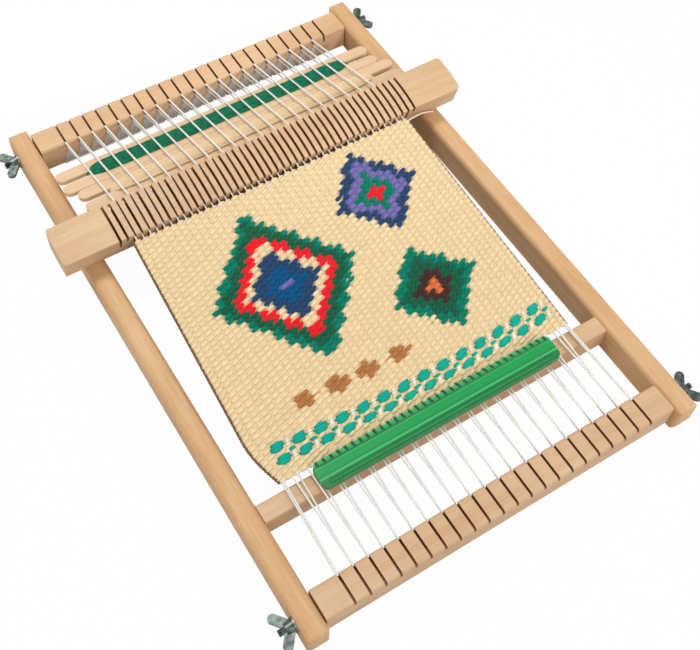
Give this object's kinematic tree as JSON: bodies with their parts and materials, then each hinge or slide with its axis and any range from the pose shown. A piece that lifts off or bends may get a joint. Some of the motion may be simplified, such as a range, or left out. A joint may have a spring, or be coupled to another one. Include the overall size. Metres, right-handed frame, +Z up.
{
  "type": "frame loom",
  "caption": "Tabletop frame loom in beech with a rocking slotted shed bar, wing-nut beams, two stick shuttles, a comb and patterned cloth on the warp.",
  "frame": {"origin": "centre of the bounding box on the table that the rails stand on", "axes": "+X along the beams to the weaver's right, +Y from the weaver's beam to the upper beam, +Z up"},
  "size_m": [0.302, 0.412, 0.0471],
  "materials": {
    "frame_wood": "satin",
    "bar_wood": "satin",
    "shuttle_wood": "satin",
    "zinc": "satin",
    "green_yarn": "matte",
    "cream_yarn": "matte",
    "comb_plastic": "gloss",
    "woven_cloth": "matte",
    "cotton_warp": "matte"
  },
  "bodies": {
    "frame": {"left_rail": "frame_wood", "right_rail": "frame_wood", "stretcher": "frame_wood", "stretcher_dowels": "frame_wood", "lower_left_washer": "zinc", "lower_right_washer": "zinc", "upper_left_washer": "zinc", "upper_right_washer": "zinc"},
    "lower_beam": {"lower_beam": "frame_wood", "lower_left_bolt": "zinc", "lower_right_bolt": "zinc", "lower_wraps": "cotton_warp"},
    "upper_beam": {"upper_beam": "frame_wood", "upper_left_bolt": "zinc", "upper_right_bolt": "zinc", "upper_wraps": "cotton_warp"},
    "lower_left_nut": {"lower_left_nut": "zinc"},
    "lower_right_nut": {"lower_right_nut": "zinc"},
    "upper_left_nut": {"upper_left_nut": "zinc"},
    "upper_right_nut": {"upper_right_nut": "zinc"},
    "shed_bar": {"shed_bar": "bar_wood"},
    "raised_warp": {"raised_warp": "cotton_warp"},
    "lowered_warp": {"lowered_warp": "cotton_warp"},
    "cloth": {"cloth": "woven_cloth", "front_warp": "cotton_warp", "weft_tail": "cotton_warp"},
    "raised_warp_front": {"raised_warp_front": "cotton_warp"},
    "comb": {"comb": "comb_plastic"},
    "far_shuttle": {"far_shuttle": "shuttle_wood", "far_yarn": "green_yarn"},
    "near_shuttle": {"near_shuttle": "shuttle_wood", "near_yarn": "cream_yarn"}
  },
  "joints": [
    {"name": "lower_beam_turn", "type": "hinge", "parent": "frame", "child": "lower_beam", "pos_m": [0, -0.19, 0.014], "axis": [-1, 0, 0], "range_deg": [0, 10]},
    {"name": "upper_beam_turn", "type": "hinge", "parent": "frame", "child": "upper_beam", "pos_m": [0, 0.19, 0.014], "axis": [1, 0, 0], "range_deg": [0, 10]},
    {"name": "lower_left_nut_turn", "type": "hinge", "parent": "lower_beam", "child": "lower_left_nut", "pos_m": [0, -0.19, 0.014], "axis": [-1, 0, 0], "continuous": true},
    {"name": "lower_right_nut_turn", "type": "hinge", "parent": "lower_beam", "child": "lower_right_nut", "pos_m": [0, -0.19, 0.014], "axis": [1, 0, 0], "continuous": true},
    {"name": "upper_left_nut_turn", "type": "hinge", "parent": "upper_beam", "child": "upper_left_nut", "pos_m": [0, 0.19, 0.014], "axis": [-1, 0, 0], "continuous": true},
    {"name": "upper_right_nut_turn", "type": "hinge", "parent": "upper_beam", "child": "upper_right_nut", "pos_m": [0, 0.19, 0.014], "axis": [1, 0, 0], "continuous": true},
    {"name": "shed_rock", "type": "hinge", "parent": "frame", "child": "shed_bar", "pos_m": [0, 0.088, 0.0243], "axis": [-1, 0, 0], "range_deg": [0, 19], "deforming": ["raised_warp", "lowered_warp", "raised_warp_front", "front_warp", "cloth", "weft_tail"]},
    {"name": "raised_warp_follow", "type": "hinge", "parent": "frame", "child": "raised_warp", "pos_m": [0, 0.1812, 0.023], "axis": [1, 0, 0], "range_deg": [0, 2.2]},
    {"name": "lowered_warp_follow", "type": "hinge", "parent": "frame", "child": "lowered_warp", "pos_m": [0, 0.18, 0.0185], "axis": [-1, 0, 0], "range_deg": [0, 3.02]},
    {"name": "cloth_lift", "type": "hinge", "parent": "frame", "child": "cloth", "pos_m": [0, -0.18, 0.024], "axis": [1, 0, 0], "range_deg": [0, 1.2]},
    {"name": "raised_front_follow", "type": "hinge", "parent": "cloth", "child": "raised_warp_front", "pos_m": [0, 0.067, 0.03766], "axis": [-1, 0, 0], "range_deg": [0, 15.77]},
    {"name": "comb_pull", "type": "slide", "parent": "cloth", "child": "comb", "axis": [0, -0.9985, -0.0552], "range_m": [0, 0.018]},
    {"name": "far_shuttle_slide", "type": "slide", "parent": "frame", "child": "far_shuttle", "axis": [1, 0, 0], "range_m": [-0.27, 0.27]},
    {"name": "near_shuttle_slide", "type": "slide", "parent": "frame", "child": "near_shuttle", "axis": [1, 0, 0], "range_m": [-0.27, 0.27]}
  ],
  "couplings": [
    {"joint": "raised_warp_follow", "follows": "shed_rock", "ratio": 0.116},
    {"joint": "lowered_warp_follow", "follows": "shed_rock", "ratio": 0.159},
    {"joint": "cloth_lift", "follows": "shed_rock", "ratio": 0.063},
    {"joint": "raised_front_follow", "follows": "shed_rock", "ratio": 0.83}
  ]
}
